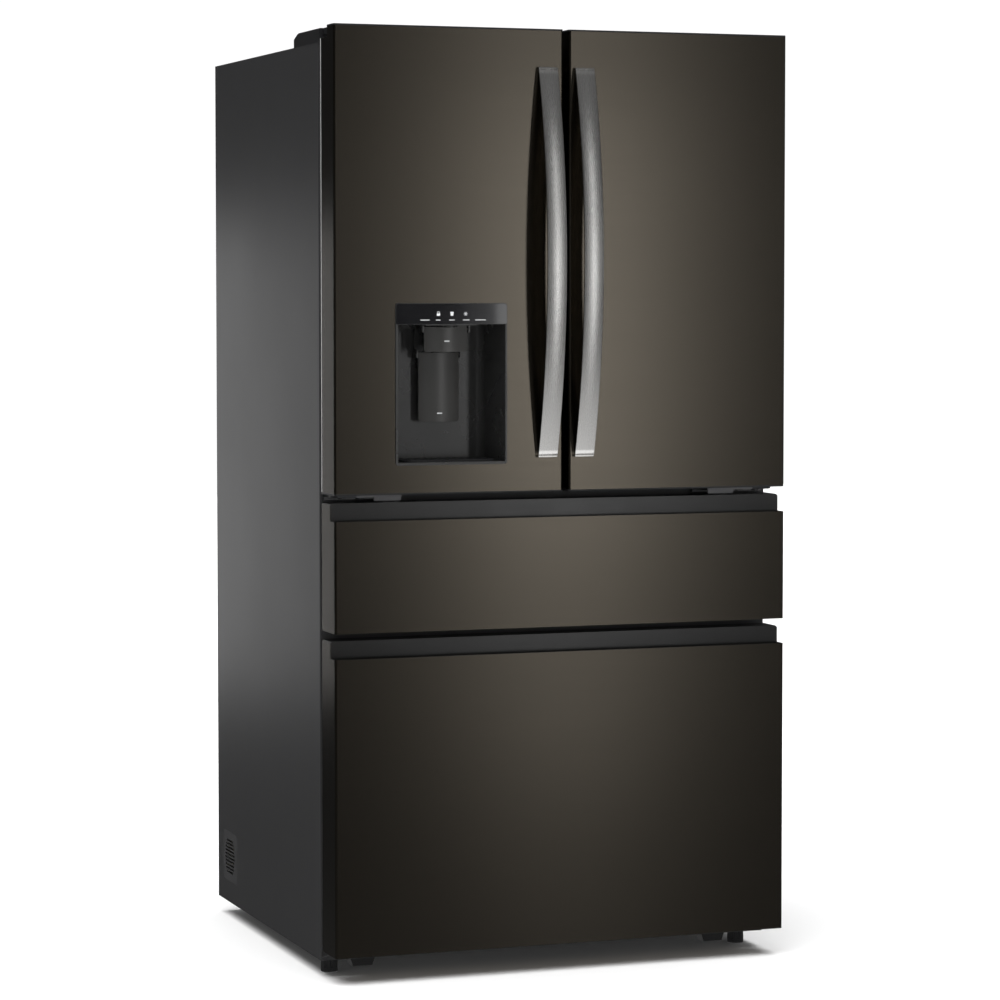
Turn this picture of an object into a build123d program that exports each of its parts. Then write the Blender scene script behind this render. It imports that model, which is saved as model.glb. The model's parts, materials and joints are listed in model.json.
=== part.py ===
from build123d import *
import os
from math import cos, radians, sin, sqrt

# French door refrigerator with two upper doors, a refrigerated drawer and a freezer drawer.
# Millimetres. X runs to the right, Y to the back and Z up; the floor is Z 0 and X 0 the middle.

# Outer sizes
HALF_WIDTH = 453
DOOR_FRONT = -382.5
DOOR_BACK = -300.5
CABINET_FRONT = -287.5
CABINET_BACK = 448.5
CABINET_BOTTOM = 32
CABINET_TOP = 1749.5
SHEET = 1.2
LINER = 2
FACE_WALL = 402

# Upper doors
DOOR_BOTTOM = 912.5
DOOR_TOP = 1778
CAP = 3
LEFT_DOOR_EDGE = -4
RIGHT_DOOR_EDGE = 8
DOOR_CORNER = 4
PIN_X = 435
PIN_Y = -322.5
PIN_RADIUS = 4
PIN_HOLE = 4.05
NOTCH_X = 421
NOTCH_Y = -341
NOTCH_FLOOR = 1756
DIKE_OUTER = 390
DIKE_INNER = 62
DIKE_WIDTH = 22
DIKE_BACK = -235
DIKE_BOTTOM = 952
DIKE_TOP = 1694
GASKET_OUTER = 430
GASKET_BACK = -287.8
GASKET_WIDTH = 18
DOOR_GASKET_Z = (917, 1734)

# Compartments: outside of each liner as half width, rear, floor and ceiling
FRESH = (402, 382, 938, 1708)
PANTRY = (402, 332, 688, 871)
FREEZER = (402, 330, 98, 610)
FREEZER_STEP_Y = 167
FREEZER_STEP_Z = 302
MACHINE_FRONT = 215
MACHINE_TOP = 252
FOAM_BOTTOM = 60

# Drawer fronts as bottom, top of the steel and top of the grip
PANTRY_FRONT = (657, 864.5, 897)
FREEZER_FRONT = (53, 609, 641)
GRIP_SETBACK = 30
GRIP_DEPTH = 19
DRAWER_RUNNER = 386.5

# Handles
HANDLE_Z = (977.5, 1707)
HANDLE_X = (17.5, 56)
HANDLE_FRONT = -442
HANDLE_BOW = 50
HANDLE_THICK = 11

# Dispenser
DISPENSER_X = (-335, -116)
DISPENSER_Z = (966.5, 1267)
PANEL_BOTTOM = 1227.5
RECESS_FLOOR = 971.5
RECESS_BACK = -284.5
RECESS_FRONT_X = (-330.5, -119.5)
RECESS_BACK_X = (-318, -130)
DISPENSER_FRONT = -384.5
PADDLE_X = -224.7
WATER_PIVOT = (-345.5, 1218.5)
ICE_PIVOT = (-303.5, 1170)
LUG_THICK = 3
WATER_LUG_X = 45.5
ICE_LUG_X = 43

# Interior
SHELF_LEVELS = (1085, 1290, 1500)
SHELF_FRONT = -132
SHELF_REAR = 360
PANES = ((-385, -8), (8, 385))
BIN_REAR = -152
PANTRY_RAIL_Z = 780
FREEZER_RAIL_Z = 345
MULLION_X = -34
MULLION_Y = -278
MULLION_LUGS = (948, 1683)

# Vent, feet, rollers and water inlet
VENT_Y = (302, 410)
VENT_Z = (75, 178)
VENT_HOLE = (VENT_Y[0] - 0.3, VENT_Y[1] + 0.3, VENT_Z[0] - 0.3, VENT_Z[1] + 0.3)
FOOT_X = 420
FOOT_Y = -232
ROLLER_X = 380
ROLLER_Y = 400
ROLLER_RADIUS = 18
WATER_INLET = (-270, 180)
INLET_RADIUS = 5.55

# Lower hinges of the upper doors
CENTRE_ARM_Z = (906.5, 911)


def block(x0, x1, y0, y1, z0, z1):
    """Box between two corners."""
    centre = Pos((x0 + x1) / 2, (y0 + y1) / 2, (z0 + z1) / 2)
    return centre * Box(x1 - x0, y1 - y0, z1 - z0)


def front_plate(x0, x1, y0, y1, z0, z1, radius):
    """Plate facing the front, with rounded corners in X and Z."""
    outline = Plane.XZ * RectangleRounded(x1 - x0, z1 - z0, radius)
    return Pos((x0 + x1) / 2, y1, (z0 + z1) / 2) * extrude(outline, y1 - y0)


def side_plate(x0, x1, y0, y1, z0, z1, radius):
    """Plate facing the side, with rounded corners in Y and Z."""
    outline = Plane.YZ * RectangleRounded(y1 - y0, z1 - z0, radius)
    return Pos(x0, (y0 + y1) / 2, (z0 + z1) / 2) * extrude(outline, x1 - x0)


def side_prism(points, x0, x1):
    """Outline in Y and Z drawn out along X."""
    wire = Polyline(*[(x0, y, z) for y, z in points], close=True)
    return extrude(make_face(wire), x1 - x0, dir=(1, 0, 0))


def plan_prism(points, z0, z1):
    """Outline in X and Y drawn out along Z."""
    wire = Polyline(*[(x, y, z0) for x, y in points], close=True)
    return extrude(make_face(wire), z1 - z0, dir=(0, 0, 1))


def front_prism(points, y0, y1):
    """Outline in X and Z drawn out along Y."""
    wire = Polyline(*[(x, y0, z) for x, z in points], close=True)
    return extrude(make_face(wire), y1 - y0, dir=(0, 1, 0))


def post(x, y, z0, z1, radius):
    """Upright cylinder."""
    return Pos(x, y, (z0 + z1) / 2) * Cylinder(radius, z1 - z0)


def axle(x0, x1, y, z, radius):
    """Cylinder along X."""
    return Pos((x0 + x1) / 2, y, z) * Rot(0, 90, 0) * Cylinder(radius, x1 - x0)


def mirrored(shape):
    """The same shape on the other side of the middle plane."""
    return mirror(shape, about=Plane.YZ)


def tub(x0, x1, y0, y1, z0, z1, wall, radius):
    """Open-topped bin with rounded upright corners."""
    outline = RectangleRounded(x1 - x0, y1 - y0, radius)
    hollow = RectangleRounded(x1 - x0 - 2 * wall, y1 - y0 - 2 * wall, radius - wall)
    middle = Pos((x0 + x1) / 2, (y0 + y1) / 2, z0)
    shell = middle * extrude(outline, z1 - z0)
    return shell - middle * Pos(0, 0, wall) * extrude(hollow, z1 - z0)


def front_prism_block(x0, x1, z0, z1, inset, back):
    """Door-shaped block with its two front upright edges rounded."""
    body = block(x0 + inset, x1 - inset, DOOR_FRONT + inset, back, z0, z1)
    edges = body.edges().filter_by(Axis.Z).sort_by(Axis.Y)[:2]
    return fillet(edges, DOOR_CORNER - inset)


def gasket_ring(x0, x1, z0, z1):
    """Magnetic gasket frame standing on the back of a door or a drawer front."""
    w = GASKET_WIDTH
    outer = front_plate(x0, x1, DOOR_BACK, GASKET_BACK, z0, z1, 10)
    inner = front_plate(x0 + w, x1 - w, DOOR_BACK - 1, GASKET_BACK + 1, z0 + w, z1 - w, 4)
    return outer - inner


# ---------------------------------------------------------------- cabinet


def liner_block(sizes, inset):
    """Solid of one compartment, drawn in from the outside of its liner."""
    half, rear, floor, ceiling = sizes
    return block(
        -half + inset, half - inset, CABINET_FRONT, rear - inset, floor + inset, ceiling - inset
    )


def freezer_block(inset):
    """Freezer compartment with the step over the machine compartment."""
    half, rear, floor, ceiling = FREEZER
    upper = block(
        -half + inset, half - inset, CABINET_FRONT, rear - inset,
        FREEZER_STEP_Z + inset, ceiling - inset,
    )
    lower = block(
        -half + inset, half - inset, CABINET_FRONT, FREEZER_STEP_Y - inset,
        floor + inset, ceiling - inset,
    )
    return upper + lower


def cabinet_wrap():
    """Painted steel sheet bent over both sides and the top, with its front flanges."""
    outer = block(-HALF_WIDTH, HALF_WIDTH, CABINET_FRONT, CABINET_BACK, CABINET_BOTTOM, CABINET_TOP)
    outer = fillet(outer.edges().filter_by(Axis.Z).sort_by(Axis.Y)[:2], 2.5)
    side = HALF_WIDTH - SHEET
    inner = block(-side, side, CABINET_FRONT + SHEET, CABINET_BACK + 1, 0, CABINET_TOP - SHEET)
    mouth = block(-FACE_WALL, FACE_WALL, CABINET_FRONT - 1, CABINET_FRONT + 2, 0, FRESH[3])
    vent = side_plate(-460, -445, *VENT_HOLE, 12)
    return outer - inner - mouth - vent


def side_vent():
    """Flush louvred plate low at the rear of the left side."""
    plate = side_plate(-HALF_WIDTH, -HALF_WIDTH + 2.5, *VENT_Y, *VENT_Z, 11.7)
    centre_y = sum(VENT_Y) / 2 + 4
    centre_z = sum(VENT_Z) / 2
    rows = 10
    for i in range(rows):
        dz = (i - (rows - 1) / 2) * 7.2
        half = 36 * sqrt(1 - (dz / 44) ** 2)
        plate -= side_plate(
            -460, -445, centre_y - half, centre_y + half, centre_z + dz - 2.2, centre_z + dz + 2.2, 2.1
        )
    return plate


def back_panel():
    side = HALF_WIDTH - SHEET
    return block(-side, side, CABINET_BACK - SHEET, CABINET_BACK, MACHINE_TOP, CABINET_TOP - SHEET)


def machine_cover():
    """Louvred cover over the machine compartment, open round the water inlet."""
    side = HALF_WIDTH - SHEET - 0.5
    cover = block(-side, side, CABINET_BACK - SHEET, CABINET_BACK, 36, MACHINE_TOP - 1)
    for x in (-90, 60, 210, 360):
        for i in range(9):
            z = 80 + i * 14
            cover -= front_plate(x - 55, x + 55, 440, 450, z, z + 5, 2.4)
    x, z = WATER_INLET
    return cover - front_plate(x - 32, x + 32, 440, 450, z - 32, z + 32, 8)


def base_frame():
    """Bottom pan with side rails, a front cross rail and the two front gussets."""
    side = HALF_WIDTH - SHEET
    front = CABINET_FRONT + SHEET
    pan = block(-side, side, front, CABINET_BACK - SHEET, CABINET_BOTTOM, CABINET_BOTTOM + 2)
    pan += block(-400, 400, front, front + 40, CABINET_BOTTOM, FOAM_BOTTOM)
    for s in (-1, 1):
        rail_x = sorted((s * 400, s * side))
        pan += block(*rail_x, front, MACHINE_FRONT - 5, CABINET_BOTTOM, FOAM_BOTTOM)
        pan -= post(s * FOOT_X, FOOT_Y, 20, FOAM_BOTTOM + 1, 6.3)
        wheel_x = sorted((s * 367, s * 393))
        pan -= block(*wheel_x, ROLLER_Y - 22, ROLLER_Y + 22, 20, 50)
    return [pan, gusset(), mirrored(gusset())]


def gusset():
    """Small pierced tab standing forward at the left foot of the cabinet face."""
    outline = ((CABINET_FRONT, 38), (CABINET_FRONT, 51.5), (-327, 51.5), (-327, 50))
    tab = side_prism(outline, -451, -449)
    return tab - axle(-452, -448, -300, 47, 2)


def front_rails():
    """Steel cross rails on the cabinet face that the gaskets close on."""
    face = (CABINET_FRONT, CABINET_FRONT + SHEET)
    rails = []
    for z0, z1 in ((PANTRY[3], FRESH[2]), (FREEZER[3], PANTRY[2]), (CABINET_BOTTOM, FREEZER[2])):
        rails.append(block(-FACE_WALL, FACE_WALL, *face, z0, z1))
    return rails


def cabinet_foam():
    """Insulation between the outer sheets and the three liners."""
    side = HALF_WIDTH - SHEET
    body = block(
        -side, side, CABINET_FRONT + SHEET, CABINET_BACK - SHEET, FOAM_BOTTOM, CABINET_TOP - SHEET
    )
    body -= liner_block(FRESH, 0)
    body -= liner_block(PANTRY, 0)
    body -= freezer_block(0)
    return body - block(-side - 1, side + 1, MACHINE_FRONT, CABINET_BACK, 0, MACHINE_TOP)


def liner_shell(sizes):
    """Liner of one compartment, open at the front."""
    half, rear, floor, ceiling = sizes
    shell = liner_block(sizes, 0) - liner_block(sizes, LINER)
    mouth = block(
        -half + LINER, half - LINER, CABINET_FRONT - 1, CABINET_FRONT + 5, floor + LINER, ceiling - LINER
    )
    return shell - mouth


def fresh_food_liner():
    """Upper liner with a moulded ledge under each end of every shelf."""
    shell = liner_shell(FRESH)
    wall = FRESH[0] - LINER
    for level in SHELF_LEVELS:
        for s in (-1, 1):
            ledge_x = sorted((s * (wall - 10), s * wall))
            shell += block(*ledge_x, SHELF_FRONT, SHELF_REAR, level - 16, level - 6)
    return shell


def freezer_liner():
    half, rear, floor, ceiling = FREEZER
    shell = freezer_block(0) - freezer_block(LINER)
    return shell - block(
        -half + LINER, half - LINER, CABINET_FRONT - 1, CABINET_FRONT + 5, floor + LINER, ceiling - LINER
    )


def air_duct_panel():
    """Cold air duct on the rear wall of the upper compartment."""
    rear = FRESH[1] - LINER
    panel = front_plate(-140, 140, rear - 14, rear, 1110, 1690, 20)
    for i in range(3):
        z = 1180 + i * 205
        for s in (-1, 1):
            x = s * 70
            panel -= front_plate(x - 40, x + 40, rear - 20, rear - 4, z, z + 12, 5)
    return panel


def shelf_frames():
    """Plastic rim round the two panes of each shelf."""
    rims = []
    for level in SHELF_LEVELS:
        rim = block(-397, 397, SHELF_FRONT, SHELF_REAR, level - 6, level + 7)
        for x0, x1 in PANES:
            rim -= block(x0, x1, SHELF_FRONT + 12, SHELF_REAR - 12, level - 20, level + 20)
        rims.append(rim)
    return rims


def glass_shelves():
    panes = []
    for level in SHELF_LEVELS:
        for x0, x1 in PANES:
            panes.append(block(x0, x1, SHELF_FRONT + 12, SHELF_REAR - 12, level, level + 4))
    return panes


def crisper(s):
    """Vegetable drawer under the lowest shelf, with a finger lip along its front."""
    x = sorted((s * 6, s * 388))
    tray = tub(*x, -118, 350, 944, 1064, 3, 14)
    lip = side_prism(((-118, 1044), (-118, 1064), (-128, 1064), (-128, 1056)), x[0] + 14, x[1] - 14)
    return tray + lip


def rail_channels():
    """Fixed outer channels of the two drawer slides, on the liner walls."""
    channels = []
    for z, rear in ((PANTRY_RAIL_Z, 290), (FREEZER_RAIL_Z, 310)):
        for s in (-1, 1):
            web = block(*sorted((s * 398, s * 400)), CABINET_FRONT + 4, rear, z - 18, z + 18)
            for dz in (-18, 16):
                web += block(*sorted((s * 388, s * 399)), CABINET_FRONT + 4, rear, z + dz, z + dz + 2)
            channels.append(web)
    return channels


def rails_mid(z, rear):
    """Middle members of one pair of drawer slides."""
    rails = []
    for s in (-1, 1):
        rails.append(block(*sorted((s * 388, s * 396)), CABINET_FRONT + 8, rear, z - 14, z + 14))
    return rails


def top_hinge():
    """Left top hinge: base on the cabinet, raised arm and downward pin."""
    plate = block(-448, -398, -278, -150, CABINET_TOP, CABINET_TOP + 4)
    plate += block(-PIN_X - 7, -PIN_X + 7, CABINET_FRONT, -270, CABINET_TOP, 1762)
    plate += block(-PIN_X - 7, -PIN_X + 7, PIN_Y, -270, 1758, 1762)
    plate += post(-PIN_X, PIN_Y, 1758, 1762, 7)
    return plate + post(-PIN_X, PIN_Y, 1738, 1760, PIN_RADIUS)


def centre_hinge():
    """Left lower hinge: flange on the cabinet face, lipped arm under the door, bolts and upward pin."""
    z0, z1 = CENTRE_ARM_Z
    outline = ((-446, -287.5), (-446, -334), (-436, -346), (-400, -350), (-310, -341), (-300, -287.5))
    arm = plan_prism(outline, z0, z1)
    arm += block(-446, -300, -290.5, CABINET_FRONT, 900, z1)
    arm += front_plate(-364, -311, -341, -338, 899.5, z1, 2)
    for x in (-385, -420):
        arm += post(x, -316, z0 - 4, z0, 7)
    return arm + post(-PIN_X, PIN_Y, z0, 928, PIN_RADIUS)


def door_hinges():
    left = [top_hinge(), centre_hinge()]
    return left + [mirrored(hinge) for hinge in left]


def hinge_cover():
    """Hollow cover over the left top hinge, sloped at its rear end."""
    profile = ((CABINET_FRONT, CABINET_TOP), (CABINET_FRONT, 1776), (-152.5, 1776))
    profile += ((-122.5, 1765), (-122.5, CABINET_TOP))
    cover = side_prism(profile, -452, -392)
    cover = fillet(cover.edges().filter_by(Axis.Y).sort_by(Axis.Z)[-2:], 3)
    hollow = side_prism(
        ((-285.5, 1740), (-285.5, 1774), (-153.5, 1774), (-124.5, 1763.5), (-124.5, 1740)), -450, -394
    )
    cover -= hollow
    cover -= block(-PIN_X - 7.5, -PIN_X + 7.5, -288, -285, CABINET_TOP - 1, 1763)
    nose = block(-PIN_X - 8, -PIN_X + 8, PIN_Y, CABINET_FRONT, 1763, 1776)
    return cover + nose + post(-PIN_X, PIN_Y, 1763, 1776, 8)


def hinge_covers():
    return [hinge_cover(), mirrored(hinge_cover())]


def foot(s):
    """Screw-out levelling foot."""
    pad = post(s * FOOT_X, FOOT_Y, 0, 24, 16)
    pad = chamfer(pad.edges().sort_by(Axis.Z)[0], 1.5)
    for i in range(8):
        turn = radians(i * 45)
        pad -= post(s * FOOT_X + 17.5 * cos(turn), FOOT_Y + 17.5 * sin(turn), 8, 30, 3)
    return pad + post(s * FOOT_X, FOOT_Y, 23, 56, 6)


def roller_brackets():
    """Front skid brackets and the ears that carry the rear rollers."""
    brackets = []
    outline = ((-387, CABINET_BOTTOM), (-335, CABINET_BOTTOM), (-342, 11), (-380, 11))
    front = front_prism(outline, -256, -226)
    for s in (-1, 1):
        brackets.append(front if s < 0 else mirrored(front))
        for x in (363, 394):
            ear = block(*sorted((s * x, s * (x + 3))), ROLLER_Y - 13, ROLLER_Y + 13, 7, CABINET_BOTTOM)
            brackets.append(ear - axle(s * x - 5, s * x + 5, ROLLER_Y, ROLLER_RADIUS, 4.05))
    return brackets


def rear_rollers():
    wheels = []
    for s in (-1, 1):
        wheel = axle(s * ROLLER_X - 10, s * ROLLER_X + 10, ROLLER_Y, ROLLER_RADIUS, ROLLER_RADIUS)
        wheel = chamfer(wheel.edges().filter_by(GeomType.CIRCLE), 1.5)
        wheels.append(wheel + axle(s * ROLLER_X - 17, s * ROLLER_X + 17, ROLLER_Y, ROLLER_RADIUS, 4))
    return wheels


def compressor():
    """Welded compressor shell on its foot plate and four rubber mounts."""
    shell = fillet(post(240, 330, 56, 214, 78).edges().filter_by(GeomType.CIRCLE), 34)
    shell += block(150, 330, 265, 395, 54, 60)
    for x in (163, 317):
        for y in (278, 382):
            shell += post(x, y, CABINET_BOTTOM + 2, 56, 10)
    shell += Pos(320, 330, 140) * Box(36, 46, 60)
    return shell


def water_valve():
    """Inlet valve hung from the roof of the machine compartment, with its tube fitting."""
    x, z = WATER_INLET
    body = block(x - 24, x + 24, 340, 412, z - 22, z + 22)
    body += block(x - 15, x + 15, 350, 400, z + 20, MACHINE_TOP)
    body += Pos(x, 417, z) * Rot(90, 0, 0) * Cylinder(10, 12)
    return body + Pos(x, 431, z) * Rot(90, 0, 0) * Cylinder(INLET_RADIUS, 22)


# ---------------------------------------------------------------- upper doors


def notch(s):
    """Space for the top hinge at the rear outer corner of a door."""
    x = sorted((s * NOTCH_X, s * (HALF_WIDTH + 1)))
    return block(*x, NOTCH_Y, DOOR_BACK + 1, NOTCH_FLOOR, DOOR_TOP + 1)


def door_span(s):
    """Left and right edge of the upper door on side s."""
    return (-HALF_WIDTH, LEFT_DOOR_EDGE) if s < 0 else (RIGHT_DOOR_EDGE, HALF_WIDTH)


def door_skin(s):
    """Steel pan of an upper door: front and both side returns."""
    x0, x1 = door_span(s)
    z0, z1 = DOOR_BOTTOM + CAP, DOOR_TOP - CAP
    back = DOOR_BACK - LINER
    skin = front_prism_block(x0, x1, z0, z1, 0, back)
    skin -= front_prism_block(x0, x1, z0 - 1, z1 + 1, SHEET, back + 1)
    return skin - notch(s)


def corner_blocks(s):
    """Reinforced pockets that take the hinge pins."""
    x = sorted((s * 413, s * (HALF_WIDTH - SHEET)))
    top = block(*x, -349, DOOR_BACK - LINER, 1734, DOOR_TOP - CAP)
    bottom = block(*x, -349, DOOR_BACK - LINER, DOOR_BOTTOM + CAP, 934)
    return top + bottom


def door_caps(s):
    """Plastic top and bottom caps with the hinge pockets."""
    x0, x1 = door_span(s)
    caps = front_prism_block(x0, x1, DOOR_TOP - CAP, DOOR_TOP, 0, DOOR_BACK)
    caps += front_prism_block(x0, x1, DOOR_BOTTOM, DOOR_BOTTOM + CAP, 0, DOOR_BACK)
    caps += corner_blocks(s)
    caps -= notch(s)
    caps -= post(s * PIN_X, PIN_Y, 1737, DOOR_TOP, PIN_HOLE)
    return caps - post(s * PIN_X, PIN_Y, DOOR_BOTTOM - 1, 929, PIN_HOLE)


def dike(s, inset):
    """Raised frame on the back of a door that carries the bins."""
    x0, x1 = sorted((s * DIKE_INNER, s * DIKE_OUTER))
    w = DIKE_WIDTH
    z0, z1 = DIKE_BOTTOM, DIKE_TOP
    outer = block(x0 + inset, x1 - inset, DOOR_BACK - LINER, DIKE_BACK - inset, z0 + inset, z1 - inset)
    inner = block(
        x0 + w - inset, x1 - w + inset, DOOR_BACK - LINER - 1, DIKE_BACK + 1,
        z0 + w - inset, z1 - w + inset,
    )
    return outer - inner


def dispenser_bulge(inset):
    """Swelling of the left door's liner behind the dispenser."""
    return block(
        -345 + inset, -104 - inset, DOOR_BACK - LINER, -270 - inset, 957 + inset, 1277 - inset
    )


def door_foam(s):
    """Insulation of an upper door, filling the raised frame of its liner."""
    x0, x1 = door_span(s)
    z0, z1 = DOOR_BOTTOM + CAP, DOOR_TOP - CAP
    core = front_prism_block(x0, x1, z0, z1, SHEET, DOOR_BACK - LINER)
    core += dike(s, LINER)
    core -= corner_blocks(s)
    return core - notch(s)


def door_liner(s, foam):
    """Inner panel of an upper door with its raised frame."""
    x0, x1 = door_span(s)
    z0, z1 = DOOR_BOTTOM + CAP, DOOR_TOP - CAP
    panel = block(x0, x1, DOOR_BACK - LINER, DOOR_BACK, z0, z1)
    panel += dike(s, 0)
    if s < 0:
        panel += dispenser_bulge(0)
        for z in MULLION_LUGS:
            lug = block(-64, -27.5, DOOR_BACK - LINER, -269, z, z + 10)
            panel += lug - post(MULLION_X, MULLION_Y, z - 1, z + 11, 3.05)
    return panel - foam - notch(s)


def flipper_mullion():
    """Hinged bar on the left door that closes the gap between the doors."""
    bar = block(-40, 20, -287.2, -269, 960, 1681)
    bar = fillet(bar.edges().filter_by(Axis.Z), 3)
    return bar + post(MULLION_X, MULLION_Y, 949, 1692, 3)


def door_gasket(s):
    x0, x1 = door_span(s)
    span = (-GASKET_OUTER, x1 - 4) if s < 0 else (x0 + 4, GASKET_OUTER)
    return gasket_ring(*span, *DOOR_GASKET_Z)


def handle(s):
    """Bowed bar handle with a wide front and a narrow back, standing on the door at both ends."""
    z0, z1 = HANDLE_Z
    half = (z1 - z0) / 2
    radius = (half**2 + HANDLE_BOW**2) / (2 * HANDLE_BOW)
    centre = (HANDLE_FRONT + radius, (z0 + z1) / 2)
    x = sorted((s * HANDLE_X[0], s * HANDLE_X[1]))
    width = x[1] - x[0]
    disc = Pos(sum(x) / 2, *centre) * Rot(0, 90, 0) * Cylinder(radius, width)
    core = Pos(sum(x) / 2, *centre) * Rot(0, 90, 0) * Cylinder(radius - HANDLE_THICK, width + 2)
    bar = (disc - core) & block(*x, HANDLE_FRONT - 1, DOOR_FRONT, z0, z1)
    arcs = bar.edges().filter_by(GeomType.CIRCLE).sort_by(SortBy.RADIUS)
    bar = fillet(arcs[2:], 2)
    arcs = bar.edges().filter_by(GeomType.CIRCLE).sort_by(SortBy.RADIUS)
    bar = chamfer(arcs[:2], 6)
    for z in (z0 + 3, z1 - 27):
        bar += block(x[0] + 8, x[1] - 8, -389, DOOR_FRONT, z, z + 24)
    return bar


def door_bins(s, bottoms, height, front):
    """Clear bins held between the raised sides of the door liner."""
    x = sorted((s * (DIKE_INNER + DIKE_WIDTH + 0.5), s * (DIKE_OUTER - DIKE_WIDTH - 0.5)))
    return [tub(*x, front, BIN_REAR, z, z + height, 2.5, 16) for z in bottoms]


def ice_bin():
    """Ice caddy in the upper part of the left door."""
    x = (-(DIKE_OUTER - DIKE_WIDTH - 0.5), -(DIKE_INNER + DIKE_WIDTH + 0.5))
    caddy = tub(*x, DOOR_BACK, BIN_REAR, 1310, 1560, 3, 20)
    return caddy - front_plate(-270, -180, BIN_REAR - 6, BIN_REAR + 1, 1490, 1525, 12)


# ---------------------------------------------------------------- dispenser


def recess(grow, z0, z1, corner):
    """Glass recess, narrowing towards the back, with rounded rear corners."""
    front, back = RECESS_FRONT_X, RECESS_BACK_X
    outline = (
        (front[0] - grow, DISPENSER_FRONT),
        (front[1] + grow, DISPENSER_FRONT),
        (back[1] + grow, RECESS_BACK + grow),
        (back[0] - grow, RECESS_BACK + grow),
    )
    body = plan_prism(outline, z0, z1)
    return fillet(body.edges().filter_by(Axis.Z).sort_by(Axis.Y)[-2:], corner)


def dispenser_envelope():
    """Everything of the housing that sits inside the door."""
    tunnel = recess(3, RECESS_FLOOR - 3, PANEL_BOTTOM + 2.5, 18)
    x0, x1 = DISPENSER_X
    z0, z1 = DISPENSER_Z
    return tunnel + front_plate(x0, x1, DISPENSER_FRONT, -378, z0, z1, 5)


def dispenser_housing():
    housing = dispenser_envelope() - recess(0, RECESS_FLOOR, PANEL_BOTTOM, 15)
    return housing - glass_plate(0.2)


def glass_plate(grow):
    """Control panel across the top of the dispenser, rounded at its upper corners."""
    x0, x1 = DISPENSER_X[0] + 1.2 - grow, DISPENSER_X[1] - 1.2 + grow
    z0, z1 = PANEL_BOTTOM + 0.8 - grow, DISPENSER_Z[1] - 1.2 + grow
    plate = front_plate(x0, x1, DISPENSER_FRONT - 1, -381.5, z0 - 10, z1, 4.5)
    return plate & block(x0, x1, DISPENSER_FRONT - 1, -381.5, z0, z1)


def dispenser_chute():
    """Ice chute, water nozzle and the lugs that carry both paddles."""
    roof = PANEL_BOTTOM
    parts = block(PADDLE_X - 26, PADDLE_X + 26, -333, RECESS_BACK, 1188, roof)
    parts += block(PADDLE_X - 50, PADDLE_X + 50, -380, RECESS_BACK, roof - 2, roof)
    parts += post(PADDLE_X, -367.5, roof - 6, roof, 12)
    for s in (-1, 1):
        x = PADDLE_X + s * WATER_LUG_X
        lug = block(x - LUG_THICK / 2, x + LUG_THICK / 2, -351, -339, 1212, roof)
        parts += lug - axle(x - 4, x + 4, *WATER_PIVOT, 2.05)
        x = PADDLE_X + s * ICE_LUG_X
        lug = block(x - LUG_THICK / 2, x + LUG_THICK / 2, -309, RECESS_BACK, 1164, 1180)
        lug += block(x - LUG_THICK / 2, x + LUG_THICK / 2, -294, RECESS_BACK, 1178, roof)
        parts += lug - axle(x - 4, x + 4, *ICE_PIVOT, 2.05)
    return parts


def paddle(half, front, z0, z1, corner, pivot, reach):
    """Push paddle: curved plate with rounded lower corners and a pivot stub each side."""
    bend = 130
    plate = front_plate(PADDLE_X - half, PADDLE_X + half, front - 1, front + 16, z0, z1 + corner, corner)
    plate &= block(PADDLE_X - half, PADDLE_X + half, front - 2, front + 17, z0, z1)
    plate &= post(PADDLE_X, front + bend, z0, z1, bend)
    plate -= post(PADDLE_X, front + bend, z0 - 1, z1 + 1, bend - 4)
    for s in (-1, 1):
        inner = PADDLE_X + s * (half - 6)
        outer = PADDLE_X + s * reach
        plate += axle(*sorted((inner, outer)), *pivot, 2)
    return plate


def water_paddle():
    return paddle(42.5, -354, 1176, 1222.5, 5, WATER_PIVOT, WATER_LUG_X + 1.5)


def ice_paddle():
    return paddle(40, -311.5, 1044, 1174, 6, ICE_PIVOT, ICE_LUG_X + 1.5)


def drip_tray():
    """Slotted tray lying on the floor of the recess."""
    tray = Pos(PADDLE_X, -333, RECESS_FLOOR) * extrude(RectangleRounded(180, 84, 12), 4)
    for i in range(11):
        x = PADDLE_X - 75 + i * 15
        tray -= block(x - 3, x + 3, -366, -300, RECESS_FLOOR + 1.5, RECESS_FLOOR + 5)
    return tray


# ---------------------------------------------------------------- drawers


def drawer_skin(sizes):
    """Steel pan of a drawer front, hemmed at the top, with side returns up to the grip's top."""
    z0, steel, top = sizes
    skin = front_prism_block(-HALF_WIDTH, HALF_WIDTH, z0, steel, 0, DOOR_BACK)
    skin -= front_prism_block(-HALF_WIDTH, HALF_WIDTH, z0 + SHEET, steel + 1, SHEET, DOOR_BACK + 1)
    side = HALF_WIDTH - SHEET
    skin += block(-side, side, DOOR_FRONT + 1, DOOR_FRONT + 5, steel - SHEET, steel)
    for s in (-1, 1):
        sheet_x = sorted((s * side, s * HALF_WIDTH))
        skin += block(*sheet_x, DOOR_FRONT + GRIP_SETBACK, DOOR_BACK, steel - 1, top - 3)
    return skin


def drawer_core(sizes):
    z0, steel, top = sizes
    side = HALF_WIDTH - SHEET
    floor = steel - GRIP_DEPTH - 3
    core = front_prism_block(-HALF_WIDTH, HALF_WIDTH, z0 + SHEET, floor, SHEET, DOOR_BACK)
    wall = DOOR_FRONT + GRIP_SETBACK + 3
    return core + block(-side + 3, side - 3, wall, DOOR_BACK - LINER, floor - 1, top - 3)


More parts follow.
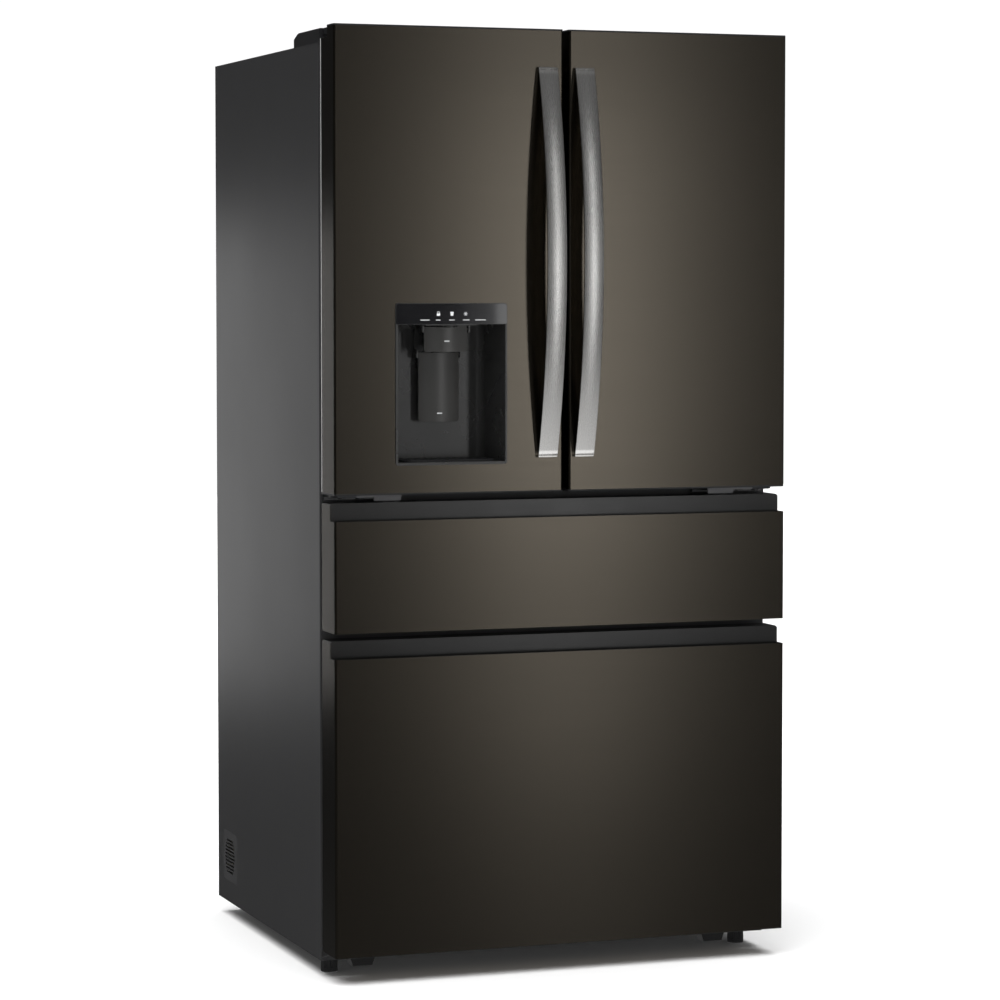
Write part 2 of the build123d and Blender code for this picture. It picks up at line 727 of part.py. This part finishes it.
def drawer_grip(sizes):
    """Black grip across the top of a drawer front: finger channel and rear wall."""
    z0, steel, top = sizes
    side = HALF_WIDTH - SHEET
    floor = steel - GRIP_DEPTH
    front = DOOR_FRONT + SHEET
    wall = DOOR_FRONT + GRIP_SETBACK
    profile = (
        (front, floor - 3), (front, steel - SHEET - 0.1), (front + 3, steel - SHEET - 0.1),
        (front + 3, floor), (wall, floor), (wall, top), (DOOR_BACK, top), (DOOR_BACK, floor - 3),
    )
    grip = side_prism(profile, -side, side)
    grip &= front_prism_block(-HALF_WIDTH, HALF_WIDTH, floor - 4, top + 1, SHEET, DOOR_BACK)
    ends = grip.edges().filter_by(Axis.Y).sort_by(Axis.Z)[-2:]
    return fillet(ends, 4) - drawer_core(sizes)


def drawer_gasket(sizes):
    z0, steel, top = sizes
    low = z0 + 7 if z0 > 100 else z0 + 19
    return gasket_ring(-GASKET_OUTER, GASKET_OUTER, low, top - 5)


def drawer_bin(rear, z0, z1, rail_z):
    """Deep drawer bin with a runner along each side."""
    bin_body = tub(-378, 378, DOOR_BACK, rear, z0, z1, 3, 18)
    for s in (-1, 1):
        x = sorted((s * 376, s * DRAWER_RUNNER))
        bin_body += block(*x, DOOR_BACK, rear - 20, rail_z - 8, rail_z + 8)
    return bin_body


def freezer_tray():
    """Shallow tray riding on the rim of the freezer basket."""
    return tub(-376, 376, -280, 140, 428.5, 556, 3, 18)


PARTS = {
    "cabinet_wrap": cabinet_wrap(),
    "side_vent": side_vent(),
    "back_panel": back_panel(),
    "machine_cover": machine_cover(),
    "base_frame": base_frame(),
    "front_rails": front_rails(),
    "cabinet_foam": cabinet_foam(),
    "fresh_food_liner": fresh_food_liner(),
    "pantry_liner": liner_shell(PANTRY),
    "freezer_liner": freezer_liner(),
    "air_duct_panel": air_duct_panel(),
    "shelf_frames": shelf_frames(),
    "glass_shelves": glass_shelves(),
    "crisper_left": crisper(-1),
    "crisper_right": crisper(1),
    "rail_channels": rail_channels(),
    "door_hinges": door_hinges(),
    "hinge_covers": hinge_covers(),
    "foot_left": foot(-1),
    "foot_right": foot(1),
    "roller_brackets": roller_brackets(),
    "rear_rollers": rear_rollers(),
    "compressor": compressor(),
    "water_valve": water_valve(),
    "left_door_skin": door_skin(-1) - dispenser_envelope(),
    "left_door_caps": door_caps(-1),
    "left_door_gasket": door_gasket(-1),
    "left_handle": handle(-1),
    "left_door_bins": door_bins(-1, (1095,), 100, -269.5),
    "ice_bin": ice_bin(),
    "flipper_mullion": flipper_mullion(),
    "dispenser_housing": dispenser_housing(),
    "dispenser_panel": glass_plate(0),
    "dispenser_chute": dispenser_chute(),
    "water_paddle": water_paddle(),
    "ice_paddle": ice_paddle(),
    "drip_tray": drip_tray(),
    "right_door_skin": door_skin(1),
    "right_door_caps": door_caps(1),
    "right_door_foam": door_foam(1),
    "right_door_liner": door_liner(1, door_foam(1)),
    "right_door_gasket": door_gasket(1),
    "right_handle": handle(1),
    "right_door_bins": door_bins(1, (1095, 1290, 1490), 95, DOOR_BACK),
    "pantry_skin": drawer_skin(PANTRY_FRONT),
    "pantry_core": drawer_core(PANTRY_FRONT),
    "pantry_grip": drawer_grip(PANTRY_FRONT),
    "pantry_gasket": drawer_gasket(PANTRY_FRONT),
    "pantry_bin": drawer_bin(300, 700, 845, PANTRY_RAIL_Z),
    "pantry_rails": rails_mid(PANTRY_RAIL_Z, 260),
    "freezer_skin": drawer_skin(FREEZER_FRONT),
    "freezer_core": drawer_core(FREEZER_FRONT),
    "freezer_grip": drawer_grip(FREEZER_FRONT),
    "freezer_gasket": drawer_gasket(FREEZER_FRONT),
    "freezer_basket": drawer_bin(150, 112, 428, FREEZER_RAIL_Z),
    "freezer_tray": freezer_tray(),
    "freezer_rails": rails_mid(FREEZER_RAIL_Z, 290),
}

left_foam = door_foam(-1) + dispenser_bulge(LINER) - dispenser_envelope()
PARTS["left_door_foam"] = left_foam
PARTS["left_door_liner"] = door_liner(-1, left_foam) - dispenser_envelope()

# The origin goes to the middle of the depth, from the handles' front to the cabinet's back.
to_middle = Pos(0, -(HANDLE_FRONT + CABINET_BACK) / 2, 0)
os.makedirs("parts", exist_ok=True)
for name, shape in PARTS.items():
    if isinstance(shape, (list, tuple)):
        shape = Compound(children=[solid for piece in shape for solid in piece.solids()])
    export_step(to_middle * shape, f"parts/{name}.step")
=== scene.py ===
import json
import math

import bmesh
import bpy
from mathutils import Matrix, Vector

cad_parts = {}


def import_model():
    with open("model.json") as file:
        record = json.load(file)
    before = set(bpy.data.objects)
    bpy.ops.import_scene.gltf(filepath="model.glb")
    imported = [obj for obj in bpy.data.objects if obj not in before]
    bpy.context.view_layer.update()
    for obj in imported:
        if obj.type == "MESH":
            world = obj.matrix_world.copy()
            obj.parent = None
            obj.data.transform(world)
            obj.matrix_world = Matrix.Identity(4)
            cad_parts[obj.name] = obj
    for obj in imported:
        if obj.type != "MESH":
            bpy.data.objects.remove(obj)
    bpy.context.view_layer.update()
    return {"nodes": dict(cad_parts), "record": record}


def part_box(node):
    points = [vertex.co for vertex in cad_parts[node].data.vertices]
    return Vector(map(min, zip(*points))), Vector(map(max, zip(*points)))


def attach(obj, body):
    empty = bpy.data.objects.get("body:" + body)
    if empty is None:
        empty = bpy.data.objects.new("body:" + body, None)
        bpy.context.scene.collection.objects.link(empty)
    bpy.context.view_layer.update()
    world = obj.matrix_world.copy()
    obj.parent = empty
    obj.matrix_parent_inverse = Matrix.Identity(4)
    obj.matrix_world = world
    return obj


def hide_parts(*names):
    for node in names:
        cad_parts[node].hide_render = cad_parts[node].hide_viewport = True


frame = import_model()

NODES = frame["nodes"]


# ---------------------------------------------------------------- materials

MATERIALS = {}


def shader(name, colour, roughness, metallic=0.0, **sockets):
    """New material with a Principled shader, kept under its name; returns its tree and the shader."""
    mat = bpy.data.materials.new(name)
    MATERIALS[name] = mat
    mat.use_nodes = True
    tree = mat.node_tree
    bsdf = tree.nodes["Principled BSDF"]
    bsdf.inputs["Base Color"].default_value = (*colour, 1)
    bsdf.inputs["Roughness"].default_value = roughness
    bsdf.inputs["Metallic"].default_value = metallic
    for socket, value in sockets.items():
        bsdf.inputs[socket.replace("_", " ")].default_value = value
    return tree, bsdf


def noise(tree, scale, detail=4, stretch=(1, 1, 1), rough=0.55):
    """Noise texture over object coordinates; returns its value socket."""
    coords = tree.nodes.new("ShaderNodeTexCoord")
    mapping = tree.nodes.new("ShaderNodeMapping")
    mapping.inputs["Scale"].default_value = stretch
    tree.links.new(coords.outputs["Object"], mapping.inputs["Vector"])
    tex = tree.nodes.new("ShaderNodeTexNoise")
    tex.inputs["Scale"].default_value = scale
    tex.inputs["Detail"].default_value = detail
    tex.inputs["Roughness"].default_value = rough
    tree.links.new(mapping.outputs["Vector"], tex.inputs["Vector"])
    return tex.outputs["Fac"]


def vary_roughness(tree, bsdf, value, low, high):
    """Roughness that goes from low to high as a value goes from 0 to 1."""
    node = tree.nodes.new("ShaderNodeMapRange")
    node.inputs["To Min"].default_value = low
    node.inputs["To Max"].default_value = high
    tree.links.new(value, node.inputs["Value"])
    tree.links.new(node.outputs["Result"], bsdf.inputs["Roughness"])


def tint(tree, bsdf, value, colour, spread):
    """Base colour that varies by spread either side of colour."""
    mix = tree.nodes.new("ShaderNodeMix")
    mix.data_type = "RGBA"
    mix.inputs[6].default_value = (*[c * (1 - spread) for c in colour], 1)
    mix.inputs[7].default_value = (*[min(1, c * (1 + spread)) for c in colour], 1)
    tree.links.new(value, mix.inputs[0])
    tree.links.new(mix.outputs[2], bsdf.inputs["Base Color"])


def bump(tree, bsdf, value, strength, distance):
    """Fine relief from a value."""
    node = tree.nodes.new("ShaderNodeBump")
    node.inputs["Strength"].default_value = strength
    node.inputs["Distance"].default_value = distance
    tree.links.new(value, node.inputs["Height"])
    tree.links.new(node.outputs["Normal"], bsdf.inputs["Normal"])


def brushed(name, colour, roughness, stretch, spread=0.05, strength=0.05, **sockets):
    """Brushed or satin metal with fine drawn lines along one direction."""
    tree, bsdf = shader(name, colour, roughness, 1.0, **sockets)
    lines = noise(tree, 1.0, 3, stretch, 0.6)
    broad = noise(tree, 2.2, 2)
    tint(tree, bsdf, broad, colour, spread)
    vary_roughness(tree, bsdf, lines, roughness - 0.03, roughness + 0.03)
    bump(tree, bsdf, lines, strength, 0.00012)


def moulded(name, colour, roughness, grain=1400, strength=0.12, spread=0.06, **sockets):
    """Moulded plastic or rubber with a fine grain."""
    tree, bsdf = shader(name, colour, roughness, 0.0, **sockets)
    fine = noise(tree, grain, 3)
    broad = noise(tree, 9, 4)
    tint(tree, bsdf, broad, colour, spread)
    vary_roughness(tree, bsdf, broad, roughness - 0.05, roughness + 0.06)
    bump(tree, bsdf, fine, strength, 0.00015)


def painted(name, colour, roughness, orange_peel=420, strength=0.10, spread=0.04, **sockets):
    """Painted sheet steel with a light orange-peel texture."""
    tree, bsdf = shader(name, colour, roughness, 0.0, **sockets)
    peel = noise(tree, orange_peel, 2)
    broad = noise(tree, 3, 3)
    tint(tree, bsdf, broad, colour, spread)
    vary_roughness(tree, bsdf, broad, roughness - 0.03, roughness + 0.04)
    bump(tree, bsdf, peel, strength, 0.0002)


def galvanised(name, colour):
    """Zinc-coated sheet with a faint spangle."""
    tree, bsdf = shader(name, colour, 0.42, 0.9)
    coords = tree.nodes.new("ShaderNodeTexCoord")
    cells = tree.nodes.new("ShaderNodeTexVoronoi")
    cells.inputs["Scale"].default_value = 55
    tree.links.new(coords.outputs["Object"], cells.inputs["Vector"])
    tint(tree, bsdf, cells.outputs["Distance"], colour, 0.14)
    vary_roughness(tree, bsdf, cells.outputs["Distance"], 0.36, 0.5)


def foam(name, colour):
    """Blown insulation with open cells."""
    tree, bsdf = shader(name, colour, 0.9)
    cells = noise(tree, 260, 5)
    tint(tree, bsdf, cells, colour, 0.12)
    bump(tree, bsdf, cells, 0.4, 0.0008)


def clear(name, colour, roughness, alpha):
    """Clear glass or plastic, shown by partial cover so that it also exports."""
    tree, bsdf = shader(name, colour, roughness, 0.0, Alpha=alpha)
    haze = noise(tree, 30, 3)
    tint(tree, bsdf, haze, colour, 0.05)
    vary_roughness(tree, bsdf, haze, roughness - 0.03, roughness + 0.05)


GLOSSIER = {"Specular_IOR_Level": 1.0}

brushed("black_stainless", (0.131, 0.1155, 0.0935), 0.205, (3, 3, 900), 0.04, 0.02)
brushed("satin_steel", (0.95, 0.94, 0.92), 0.27, (1500, 8, 6), 0.02, 0.006)
brushed("cap_metal", (0.78, 0.77, 0.75), 0.22, (60, 60, 60), 0.02, 0.01)
brushed("rail_steel", (0.6, 0.6, 0.61), 0.3, (700, 5, 700), 0.03, 0.05)
brushed("hinge_steel", (0.2, 0.2, 0.205), 0.3, (300, 300, 300), 0.05, 0.02)
painted("cabinet_paint", (0.03, 0.03, 0.031), 0.36)
painted("black_paint", (0.012, 0.012, 0.012), 0.5)
painted("compressor_paint", (0.008, 0.008, 0.009), 0.22)
galvanised("galvanised_steel", (0.42, 0.43, 0.44))
foam("insulation", (0.78, 0.68, 0.42))
moulded("white_liner", (0.8, 0.81, 0.81), 0.32, 600, 0.06, 0.02)
moulded("shelf_trim", (0.68, 0.69, 0.7), 0.35, 900, 0.08, 0.03)
moulded("drawer_plastic", (0.74, 0.76, 0.77), 0.34, 500, 0.08, 0.03)
moulded("white_plastic", (0.7, 0.7, 0.68), 0.5)
moulded("black_plastic", (0.014, 0.014, 0.015), 0.42)
moulded("grip_plastic", (0.009, 0.0087, 0.0083), 0.24, 1200, 0.03, 0.1, **GLOSSIER)
moulded("vent_plastic", (0.04, 0.04, 0.041), 0.4)
moulded("grey_gasket", (0.05, 0.05, 0.052), 0.6, 700, 0.2)
moulded("dispenser_plastic", (0.02, 0.02, 0.0195), 0.27, 1600, 0.04, 0.06, **GLOSSIER)
moulded("paddle_plastic", (0.04, 0.039, 0.037), 0.3, 1600, 0.05, 0.06, **GLOSSIER)
moulded("black_glass", (0.004, 0.004, 0.005), 0.1, 40, 0.0, 0.1, Coat_Weight=0.6)
moulded("roller_plastic", (0.25, 0.25, 0.25), 0.55)
clear("shelf_glass", (0.7, 0.85, 0.82), 0.06, 0.3)
clear("clear_plastic", (0.8, 0.88, 0.92), 0.14, 0.35)
moulded("drawer_back", (0.055, 0.055, 0.057), 0.4, 700, 0.08, 0.04)
moulded("print_white", (0.75, 0.76, 0.77), 0.5, 800, 0.02, 0.02)

for part in frame["record"]["subparts"]:
    for slot in NODES[part["node"]].material_slots:
        slot.material = MATERIALS[part["material_slot"]]
# The cores also stand for the moulded sheet on the back of the drawer fronts.
for core in ("pantry_core", "freezer_core"):
    NODES[core].material_slots[0].material = MATERIALS["drawer_back"]


def soften(width, *names):
    """Rounds the sharp edges of CAD nodes with a bevel."""
    for name in names:
        bevel = NODES[name].modifiers.new("edge", "BEVEL")
        bevel.width = width
        bevel.segments = 2
        bevel.limit_method = "ANGLE"
        bevel.angle_limit = math.radians(40)
        bevel.harden_normals = False


soften(0.0006, "cabinet_foam", "hinge_covers", "dispenser_housing", "dispenser_panel")
soften(0.0006, "left_door_caps", "right_door_caps", "drip_tray")
soften(0.0007, "left_door_skin", "right_door_skin", "pantry_skin", "freezer_skin", "cabinet_wrap")
soften(0.0004, "side_vent", "door_hinges", "water_paddle", "ice_paddle", "base_frame", "machine_cover")
soften(0.0008, "shelf_frames", "right_door_bins", "left_door_bins", "ice_bin")
soften(0.0008, "crisper_left", "crisper_right")


# ---------------------------------------------------------------- mesh helpers


def mesh_object(name, bm, material, body, smooth=True):
    """Object from a bmesh, riding on a body."""
    mesh = bpy.data.meshes.new(name)
    bm.normal_update()
    bm.to_mesh(mesh)
    bm.free()
    obj = bpy.data.objects.new(name, mesh)
    bpy.context.scene.collection.objects.link(obj)
    obj.data.materials.append(MATERIALS[material])
    for face in mesh.polygons:
        face.use_smooth = smooth
    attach(obj, body)
    return obj


def loft(rings):
    """Bmesh skin through rings of equally many points, closed at both ends."""
    bm = bmesh.new()
    rows = [[bm.verts.new(p) for p in ring] for ring in rings]
    count = len(rows[0])
    for a, b in zip(rows, rows[1:]):
        for i in range(count):
            j = (i + 1) % count
            bm.faces.new((a[i], a[j], b[j], b[i]))
    bm.faces.new(rows[0][::-1])
    bm.faces.new(rows[-1])
    bmesh.ops.recalc_face_normals(bm, faces=bm.faces)
    return bm


def unit_circle(count):
    """Points of a circle of radius 1 about the origin."""
    turns = [2 * math.pi * i / count for i in range(count)]
    return [(math.cos(a), math.sin(a)) for a in turns]


# ---------------------------------------------------------------- handles


def arc(cx, cy, radius, start, end, steps):
    """Points of an arc, angles in degrees."""
    turns = [math.radians(start + (end - start) * i / steps) for i in range(steps + 1)]
    return [(cx + radius * math.cos(a), cy + radius * math.sin(a)) for a in turns]


FLANK_TAPER = 0.002
BACK_RADIUS = 0.0012
BAR_CORNER = 0.0012
BAR_THICK = 0.0108
BAR_RINGS = 72
CROWN = 0.0011
HANDLE_BOW = 0.050
CAP_HEIGHT = 0.004
CAP_ROUND = 0.0014
DOOR_GAP = 0.0003
FOOT_HEIGHT = 0.0065
FOOT_RADII = (0.0115, 0.012)
FOOT_FROM_END = 0.015


def bar_section(half, thick):
    """Handle section as (sideways, backwards) points: crowned front, flanks drawn in to the back."""
    steps = 12
    across = [-1 + 2 * i / steps for i in range(steps + 1)]
    front = [(t * (half - BAR_CORNER), CROWN * t * t) for t in across]
    right = arc(half - BAR_CORNER, CROWN + BAR_CORNER, BAR_CORNER, -60, 30, 4)
    back = half - FLANK_TAPER - BACK_RADIUS
    right += arc(back, thick - BACK_RADIUS, BACK_RADIUS, 30, 90, 3)
    return front + right + [(-x, y) for x, y in reversed(right)]


def handle(side, node, body):
    """Bowed bar with a crowned front, end caps and two mounting feet."""
    low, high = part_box(node)
    middle = (low[0] + high[0]) / 2
    half = (high[0] - low[0]) / 2
    z_mid = (low[2] + high[2]) / 2
    rise = (high[2] - low[2]) / 2
    radius = (rise**2 + HANDLE_BOW**2) / (2 * HANDLE_BOW)
    door = high[1] - DOOR_GAP

    def ring(z, section, inset=0.0):
        """The section at height z, set back by inset and no deeper than the door."""
        front = low[1] + radius - math.sqrt(radius**2 - (z - z_mid) ** 2) + inset
        return [(middle + x, min(front + y, door), z) for x, y in section]

    section = bar_section(half, BAR_THICK)
    length = high[2] - low[2] - 2 * CAP_HEIGHT
    span = [low[2] + CAP_HEIGHT + length * i / BAR_RINGS for i in range(BAR_RINGS + 1)]
    bar = mesh_object(f"{side}_handle_bar", loft([ring(z, section) for z in span]), "satin_steel", body)
    for end, outer, inward in (("lower", low[2], 1), ("upper", high[2], -1)):
        rings = []
        for i in range(9):
            t = i / 8
            inset = CAP_ROUND * (1 - math.sqrt(1 - (1 - t) ** 2))
            slim = bar_section(half - inset * 0.6, BAR_THICK - inset)
            rings.append(ring(outer + inward * t * CAP_HEIGHT, slim, inset))
        mesh_object(f"{side}_handle_cap_{end}", loft(rings), "cap_metal", body)
    for end, z in (("lower", low[2] + FOOT_FROM_END), ("upper", high[2] - FOOT_FROM_END)):
        rings = []
        for i in range(4):
            y = high[1] - FOOT_HEIGHT * i / 3
            wide, tall = ((1 - 0.06 * i) * r for r in FOOT_RADII)
            rings.append([(middle + wide * u, y, z + tall * v) for u, v in unit_circle(16)])
        mesh_object(f"{side}_handle_foot_{end}", loft(rings), "black_plastic", body)
    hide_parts(node)


handle("left", "left_handle", "left_door")
handle("right", "right_handle", "right_door")


# ---------------------------------------------------------------- dispenser marks


def flat_shape(bm, outline, place, scale):
    """Adds one thin flat shape facing the front; the outline is in units of scale."""
    x, y, z = place
    bm.faces.new([bm.verts.new((x + u * scale, y, z + v * scale)) for u, v in outline])


def bar_shape(x0, z0, x1, z1):
    """Outline of an upright rectangle."""
    return [(x0, z0), (x1, z0), (x1, z1), (x0, z1)]


MILLIMETRE = 0.001
PANEL_PRINT_OUT = 0.00005
PADDLE_PRINT_OUT = 0.00015
SYMBOL_UNIT = 0.0011
SYMBOLS_UP = 0.0187
WORDS_UP = 0.0074
PADLOCK = (bar_shape(-3, -3.2, 3, 0.8), bar_shape(-2.2, 0.8, -1.4, 3.0))
PADLOCK += (bar_shape(1.4, 0.8, 2.2, 3.0), bar_shape(-2.2, 3.0, 2.2, 3.8))
GLASS = ([(-2.2, -3.2), (2.2, -3.2), (3.2, 3.4), (-3.2, 3.4)],)


def flake():
    """Three crossed arms."""
    arms = []
    for i in range(3):
        a = math.pi * i / 3
        u, v = math.cos(a), math.sin(a)
        arm = [(-3.6 * u + 0.4 * v, -3.6 * v - 0.4 * u), (-3.6 * u - 0.4 * v, -3.6 * v + 0.4 * u)]
        arms.append(arm + [(-x, -y) for x, y in arm])
    return arms


def panel_marks():
    """Generic printed marks on the control panel: padlock, glass and flake, with bars below."""
    low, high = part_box("dispenser_panel")
    print_y = low[1] - PANEL_PRINT_OUT
    middle = (low[0] + high[0]) / 2
    bm = bmesh.new()
    for symbol, offset in ((PADLOCK, -0.0265), (GLASS, 0.0), (flake(), 0.027)):
        for outline in symbol:
            flat_shape(bm, outline, (middle + offset, print_y, low[2] + SYMBOLS_UP), SYMBOL_UNIT)
    for offset, width in ((-53, 18), (-27, 9), (0, 11), (28, 13), (56, 21)):
        words = bar_shape(offset - width / 2, -0.65, offset + width / 2, 0.65)
        flat_shape(bm, words, (middle, print_y, low[2] + WORDS_UP), MILLIMETRE)
    mesh_object("panel_marks", bm, "print_white", "left_door", smooth=False)


def paddle_mark(node, height):
    """Small printed bar on a paddle, which has a body of its own name."""
    low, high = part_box(node)
    place = ((low[0] + high[0]) / 2, low[1] - PADDLE_PRINT_OUT, low[2] + height)
    bm = bmesh.new()
    flat_shape(bm, bar_shape(-5, -1, 5, 1), place, MILLIMETRE)
    mesh_object(f"{node}_mark", bm, "print_white", node, smooth=False)


panel_marks()
paddle_mark("water_paddle", 0.020)
paddle_mark("ice_paddle", 0.016)


# ---------------------------------------------------------------- stage, light and camera


def floor():
    """Plain pale floor, left out of reflections."""
    bm = bmesh.new()
    bmesh.ops.create_grid(bm, x_segments=4, y_segments=4, size=14)
    mesh = bpy.data.meshes.new("floor")
    bm.to_mesh(mesh)
    bm.free()
    obj = bpy.data.objects.new("floor", mesh)
    bpy.context.scene.collection.objects.link(obj)
    tree, bsdf = shader("floor", (0.9, 0.9, 0.9), 0.9)
    tint(tree, bsdf, noise(tree, 0.6, 2), (0.9, 0.9, 0.9), 0.01)
    obj.data.materials.append(MATERIALS["floor"])
    obj.visible_glossy = False


def softbox(name, place, target, width, height, power):
    """Soft rectangular light at a place, turned to a target."""
    data = bpy.data.lights.new(name, "AREA")
    data.shape = "RECTANGLE"
    data.size = width
    data.size_y = height
    data.energy = power
    obj = bpy.data.objects.new(name, data)
    obj.location = place
    obj.rotation_euler = (Vector(target) - Vector(place)).to_track_quat("-Z", "Y").to_euler()
    obj.visible_camera = False
    bpy.context.scene.collection.objects.link(obj)


def overhead_sun():
    """Wide soft light from above that keeps the whole floor white."""
    data = bpy.data.lights.new("overhead", "SUN")
    data.energy = 4.7
    data.angle = math.radians(70)
    obj = bpy.data.objects.new("overhead", data)
    obj.location = (0, 0, 6)
    obj.rotation_euler = (math.radians(8), math.radians(-6), 0)
    obj.visible_glossy = False
    bpy.context.scene.collection.objects.link(obj)


# Brightness of what glossy surfaces reflect, from straight down (0) by level (0.5) to straight up (1).
STUDIO_GLOW = (
    (0.0, 0.9),
    (0.14, 0.85),
    (0.25, 0.44),
    (0.31, 0.36),
    (0.37, 0.08),
    (0.42, 0.02),
    (0.62, 0.026),
    (0.72, 0.07),
    (1.0, 0.16),
)
BACKDROP_GLOW = 1.05
SOFT_GLOW = 0.3


def glow(tree, strength, colour=None):
    """Background of one strength, white or coloured by a socket."""
    node = tree.nodes.new("ShaderNodeBackground")
    node.inputs["Color"].default_value = (1, 1, 1, 1)
    node.inputs["Strength"].default_value = strength
    if colour:
        tree.links.new(colour, node.inputs["Color"])
    return node.outputs[0]


def either(tree, condition, yes, no):
    """One background for rays that meet a condition, another for the rest."""
    node = tree.nodes.new("ShaderNodeMixShader")
    tree.links.new(condition, node.inputs[0])
    tree.links.new(no, node.inputs[1])
    tree.links.new(yes, node.inputs[2])
    return node.outputs[0]


def world():
    """White behind the object, soft light all round, and a dim studio for it to reflect."""
    w = bpy.data.worlds.new("studio")
    bpy.context.scene.world = w
    w.use_nodes = True
    tree = w.node_tree
    tree.nodes.remove(tree.nodes["Background"])
    coords = tree.nodes.new("ShaderNodeTexCoord")
    split = tree.nodes.new("ShaderNodeSeparateXYZ")
    tree.links.new(coords.outputs["Generated"], split.inputs[0])
    height = tree.nodes.new("ShaderNodeMapRange")
    height.inputs["From Min"].default_value = -1
    tree.links.new(split.outputs["Z"], height.inputs["Value"])
    ramp = tree.nodes.new("ShaderNodeValToRGB")
    tree.links.new(height.outputs["Result"], ramp.inputs[0])
    stops = ramp.color_ramp.elements
    for place, _ in STUDIO_GLOW[1:-1]:
        stops.new(place)
    for stop, (_, grey) in zip(stops, STUDIO_GLOW):
        stop.color = (grey, grey, grey, 1)
    path = tree.nodes.new("ShaderNodeLightPath")
    mirrored = glow(tree, 1.0, ramp.outputs[0])
    lit = either(tree, path.outputs["Is Glossy Ray"], mirrored, glow(tree, SOFT_GLOW))
    seen = either(tree, path.outputs["Is Camera Ray"], glow(tree, BACKDROP_GLOW), lit)
    tree.links.new(seen, tree.nodes["World Output"].inputs["Surface"])


def camera():
    """Camera at the photograph's angle, level with the dispenser and turned slightly down."""
    data = bpy.data.cameras.new("camera")
    data.sensor_width = 36
    data.lens = 121.81
    data.shift_y = -0.03
    obj = bpy.data.objects.new("camera", data)
    obj.location = (-2.2716, -6.3322, 1.2964)
    obj.rotation_euler = (math.radians(86.908), 0, math.radians(-19.809))
    bpy.context.scene.collection.objects.link(obj)
    bpy.context.scene.camera = obj


floor()
world()

# The strips stand where the doors mirror the camera's view: a bright one at door height,
# weaker ones above and below it. The other lights fill the sides and the edges.
STRIP_X, STRIP_Y = 2.25, -6.3
FACE_Y = -0.4
softbox("front_strip", (STRIP_X, STRIP_Y, 1.2), (0, FACE_Y, 1.2), 0.5, 1.7, 7.1)
softbox("front_strip_high", (STRIP_X, STRIP_Y, 3.05), (0, FACE_Y, 2.5), 0.45, 1.6, 4.0)
softbox("front_strip_low", (STRIP_X, STRIP_Y, -0.08), (0, FACE_Y, 0.3), 0.45, 0.85, 1.75)
softbox("front_strip_base", (STRIP_X, STRIP_Y, -0.9), (0, FACE_Y, -0.3), 0.4, 0.8, 0.5)
softbox("fill_left", (-0.5, -6.0, 1.4), (0, FACE_Y, 0.9), 1.0, 1.6, 1.5)
softbox("fill_right", (4.0, -4.0, 1.4), (0, FACE_Y, 0.9), 1.0, 1.6, 1.5)
softbox("edge_left", (-4.5, -1.9, 0.9), (-0.45, -0.3, 0.9), 0.3, 2.0, 0.9)
softbox("rear_left", (-1.05, 3.4, 0.79), (-0.5, 0, 0.79), 0.5, 1.4, 4.0)
overhead_sun()
camera()
bpy.context.scene.view_settings.view_transform = "Standard"
